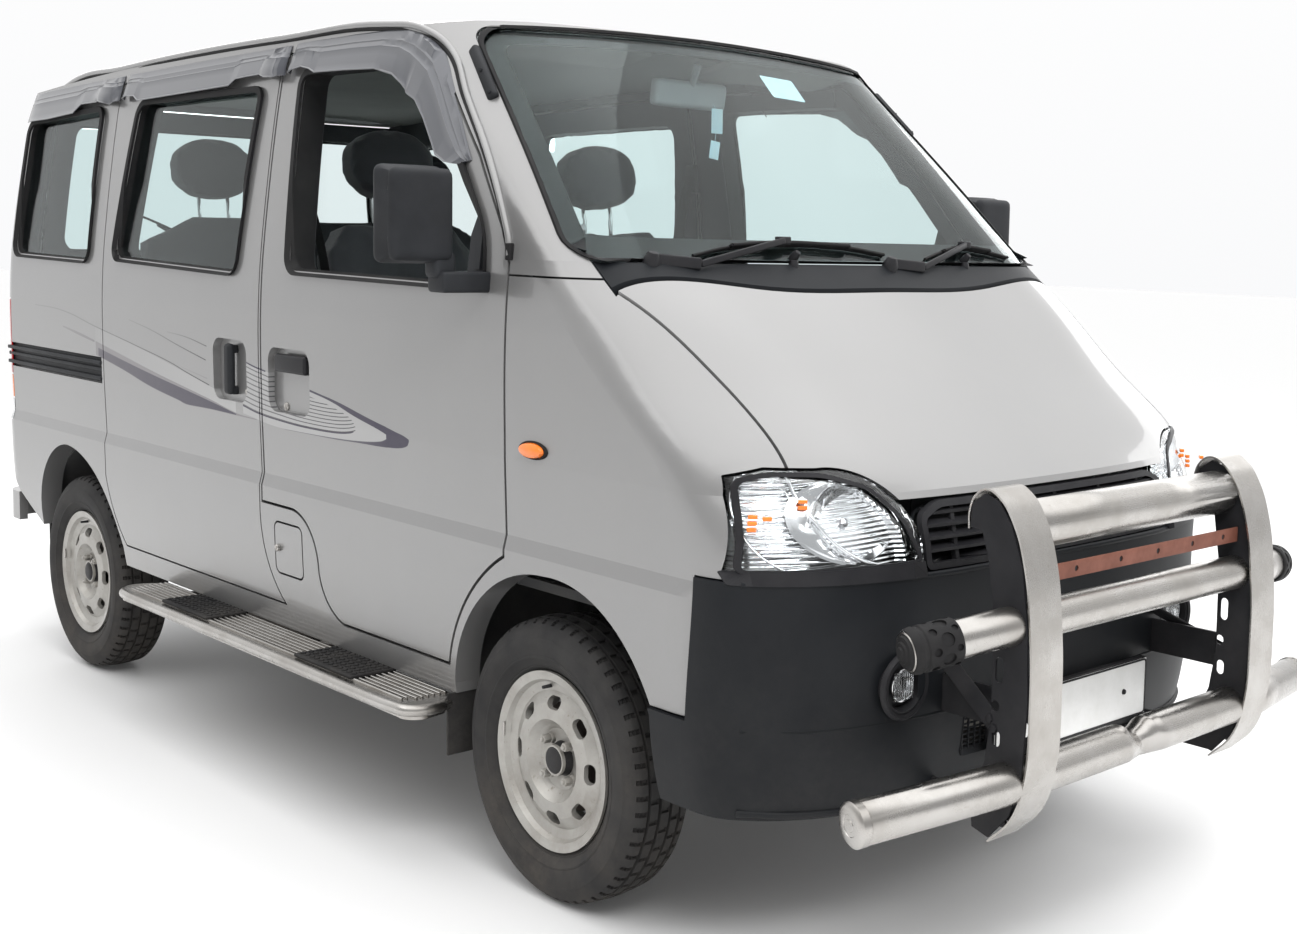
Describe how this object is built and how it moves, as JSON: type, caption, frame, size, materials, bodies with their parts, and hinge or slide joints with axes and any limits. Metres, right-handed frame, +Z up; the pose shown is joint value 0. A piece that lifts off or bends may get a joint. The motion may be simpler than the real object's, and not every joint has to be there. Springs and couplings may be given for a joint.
{
  "type": "microvan",
  "caption": "Silver forward-control microvan with hinged front doors, sliding side doors, a lifting tailgate, tubular front guard and side steps.",
  "frame": {"origin": "on the ground at the centre of the whole vehicle's box", "axes": "+X to the vehicle's left, +Y to its rear, +Z up"},
  "size_m": [1.9, 3.9261, 1.8247],
  "materials": {
    "silver_paint": "metallic clear coat",
    "wheel_silver": "satin",
    "bare_plastic": "grained",
    "black_trim": "satin",
    "smoke_plastic": "translucent gloss",
    "polished_steel": "polished",
    "black_steel": "satin",
    "clear_glass": "tinted",
    "lamp_clear": "clear",
    "lamp_red": "gloss",
    "tyre_rubber": "matte",
    "flap_rubber": "matte",
    "seat_fabric": "woven",
    "cabin_plastic": "grained",
    "underbody_paint": "matte",
    "engine_iron": "as cast",
    "floor_paint": "matte"
  },
  "bodies": {
    "body": {"roof_panel": "silver_paint", "side_frame_right": "silver_paint", "side_frame_left": "silver_paint", "fenders": "silver_paint", "sliding_doors": "silver_paint", "cowl_panel": "bare_plastic", "windscreen": "clear_glass", "side_glass": "clear_glass", "headlamps": "lamp_clear", "tail_lamps": "lamp_red", "grille": "black_trim", "front_bumper": "bare_plastic", "rear_bumper": "silver_paint", "fog_lamps": "black_trim", "guard_uprights": "polished_steel", "guard_tubes": "polished_steel", "guard_brackets": "black_steel", "side_steps": "polished_steel", "mud_flaps": "flap_rubber", "floor_front": "floor_paint", "seat_box": "floor_paint", "floor_rear": "floor_paint", "dashboard": "cabin_plastic", "steering_wheel": "cabin_plastic", "front_seats": "seat_fabric", "rear_bench": "seat_fabric", "chassis_rails": "underbody_paint", "cross_members": "underbody_paint", "engine": "engine_iron", "rear_axle": "underbody_paint", "exhaust": "underbody_paint", "fuel_tank": "underbody_paint", "front_suspension": "underbody_paint", "rear_visors": "smoke_plastic"},
    "front_door_right": {"front_door_right": "silver_paint", "mirror_right": "black_trim", "front_visor_right": "smoke_plastic"},
    "front_door_left": {"front_door_left": "silver_paint", "mirror_left": "black_trim", "front_visor_left": "smoke_plastic", "front_door_glass_left": "clear_glass"},
    "bonnet": {"bonnet": "silver_paint"},
    "tailgate": {"tailgate": "silver_paint", "tailgate_glass": "clear_glass"},
    "fuel_lid": {"fuel_lid": "silver_paint"},
    "hub_front_right": {"knuckle_right": "engine_iron"},
    "hub_front_left": {"knuckle_left": "engine_iron"},
    "wheel_front_right": {"tyre_front_right": "tyre_rubber", "rim_front_right": "wheel_silver"},
    "wheel_front_left": {"tyre_front_left": "tyre_rubber", "rim_front_left": "wheel_silver"},
    "wheel_rear_right": {"tyre_rear_right": "tyre_rubber", "rim_rear_right": "wheel_silver"},
    "wheel_rear_left": {"tyre_rear_left": "tyre_rubber", "rim_rear_left": "wheel_silver"}
  },
  "joints": [
    {"name": "front_door_right_hinge", "type": "hinge", "parent": "body", "child": "front_door_right", "pos_m": [-0.738, -0.8815, 0.9], "axis": [0, 0, 1], "range_deg": [0, 65]},
    {"name": "front_door_left_hinge", "type": "hinge", "parent": "body", "child": "front_door_left", "pos_m": [0.738, -0.8815, 0.9], "axis": [0, 0, -1], "range_deg": [0, 65]},
    {"name": "bonnet_hinge", "type": "hinge", "parent": "body", "child": "bonnet", "pos_m": [0, -1.1015, 1.262], "axis": [-1, 0, 0], "range_deg": [0, 58]},
    {"name": "tailgate_hinge", "type": "hinge", "parent": "body", "child": "tailgate", "pos_m": [0, 1.8605, 1.701], "axis": [1, 0, 0], "range_deg": [0, 85]},
    {"name": "fuel_lid_hinge", "type": "hinge", "parent": "body", "child": "fuel_lid", "pos_m": [-0.737, -0.0415, 0.562], "axis": [0, 0, 1], "range_deg": [0, 100]},
    {"name": "steer_right", "type": "hinge", "parent": "body", "child": "hub_front_right", "pos_m": [-0.622, -0.9975, 0.19], "axis": [0.1736, 0, 0.9848], "range_deg": [-35, 35]},
    {"name": "steer_left", "type": "hinge", "parent": "body", "child": "hub_front_left", "pos_m": [0.622, -0.9975, 0.19], "axis": [-0.1736, 0, 0.9848], "range_deg": [-35, 35]},
    {"name": "spin_front_right", "type": "hinge", "parent": "hub_front_right", "child": "wheel_front_right", "pos_m": [-0.64, -0.9975, 0.289], "axis": [1, 0, 0], "continuous": true},
    {"name": "spin_front_left", "type": "hinge", "parent": "hub_front_left", "child": "wheel_front_left", "pos_m": [0.64, -0.9975, 0.289], "axis": [1, 0, 0], "continuous": true},
    {"name": "spin_rear_right", "type": "hinge", "parent": "body", "child": "wheel_rear_right", "pos_m": [-0.645, 1.3525, 0.289], "axis": [1, 0, 0], "continuous": true},
    {"name": "spin_rear_left", "type": "hinge", "parent": "body", "child": "wheel_rear_left", "pos_m": [0.645, 1.3525, 0.289], "axis": [1, 0, 0], "continuous": true}
  ],
  "couplings": [
    {"joint": "steer_left", "follows": "steer_right", "ratio": 1}
  ]
}
